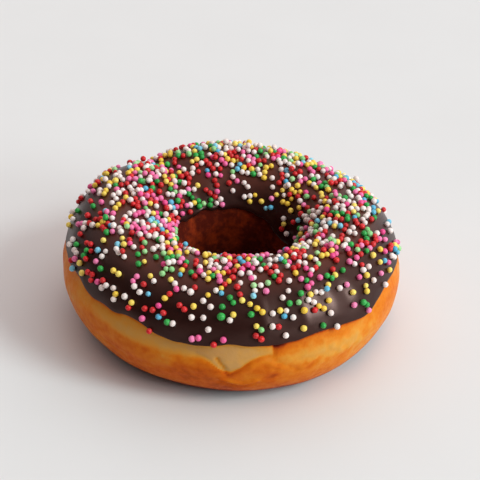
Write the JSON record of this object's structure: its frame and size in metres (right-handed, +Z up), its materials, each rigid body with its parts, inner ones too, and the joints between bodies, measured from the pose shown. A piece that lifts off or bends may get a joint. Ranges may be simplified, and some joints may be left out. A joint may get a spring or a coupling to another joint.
{
  "type": "ring doughnut",
  "caption": "Raised ring doughnut with a chocolate glaze over its upper half and a scatter of coloured sugar balls.",
  "frame": {"origin": "on the plane the doughnut rests on, under the middle of its outline", "axes": "+Z up out of the hole, -Y towards the near side where the glaze has run furthest down, +X to the right"},
  "size_m": [0.0908, 0.091, 0.0364],
  "materials": {
    "dough_crust": "matte",
    "chocolate": "satin",
    "sugar_white": "satin",
    "sugar_red": "satin",
    "sugar_pink": "satin",
    "sugar_green": "satin",
    "sugar_yellow": "satin",
    "sugar_blue": "satin"
  },
  "bodies": {
    "root": {"dough_ring": "dough_crust", "chocolate_glaze": "chocolate", "nonpareil_blue_01": "sugar_blue", "nonpareil_blue_02": "sugar_blue", "nonpareil_blue_03": "sugar_blue", "nonpareil_green_01": "sugar_green", "nonpareil_green_02": "sugar_green", "nonpareil_green_03": "sugar_green", "nonpareil_green_04": "sugar_green", "nonpareil_green_05": "sugar_green", "nonpareil_green_06": "sugar_green", "nonpareil_green_07": "sugar_green", "nonpareil_pink_01": "sugar_pink", "nonpareil_pink_02": "sugar_pink", "nonpareil_pink_03": "sugar_pink", "nonpareil_pink_04": "sugar_pink", "nonpareil_pink_05": "sugar_pink", "nonpareil_pink_06": "sugar_pink", "nonpareil_pink_07": "sugar_pink", "nonpareil_pink_08": "sugar_pink", "nonpareil_red_01": "sugar_red", "nonpareil_red_02": "sugar_red", "nonpareil_red_03": "sugar_red", "nonpareil_red_04": "sugar_red", "nonpareil_red_05": "sugar_red", "nonpareil_red_06": "sugar_red", "nonpareil_red_07": "sugar_red", "nonpareil_red_08": "sugar_red", "nonpareil_red_09": "sugar_red", "nonpareil_red_10": "sugar_red", "nonpareil_red_11": "sugar_red", "nonpareil_white_01": "sugar_white", "nonpareil_white_02": "sugar_white", "nonpareil_white_03": "sugar_white", "nonpareil_white_04": "sugar_white", "nonpareil_white_05": "sugar_white", "nonpareil_white_06": "sugar_white", "nonpareil_white_07": "sugar_white", "nonpareil_white_08": "sugar_white", "nonpareil_white_09": "sugar_white", "nonpareil_white_10": "sugar_white", "nonpareil_white_11": "sugar_white", "nonpareil_white_12": "sugar_white", "nonpareil_white_13": "sugar_white", "nonpareil_white_14": "sugar_white", "nonpareil_white_15": "sugar_white", "nonpareil_yellow_01": "sugar_yellow", "nonpareil_yellow_02": "sugar_yellow", "nonpareil_yellow_03": "sugar_yellow", "nonpareil_yellow_04": "sugar_yellow", "nonpareil_yellow_05": "sugar_yellow", "nonpareil_yellow_06": "sugar_yellow", "nonpareil_yellow_07": "sugar_yellow", "nonpareil_yellow_08": "sugar_yellow", "nonpareil_yellow_09": "sugar_yellow", "nonpareil_yellow_10": "sugar_yellow", "nonpareil_yellow_11": "sugar_yellow", "nonpareil_yellow_12": "sugar_yellow", "nonpareil_yellow_13": "sugar_yellow", "nonpareil_yellow_14": "sugar_yellow"}
  },
  "joints": []
}
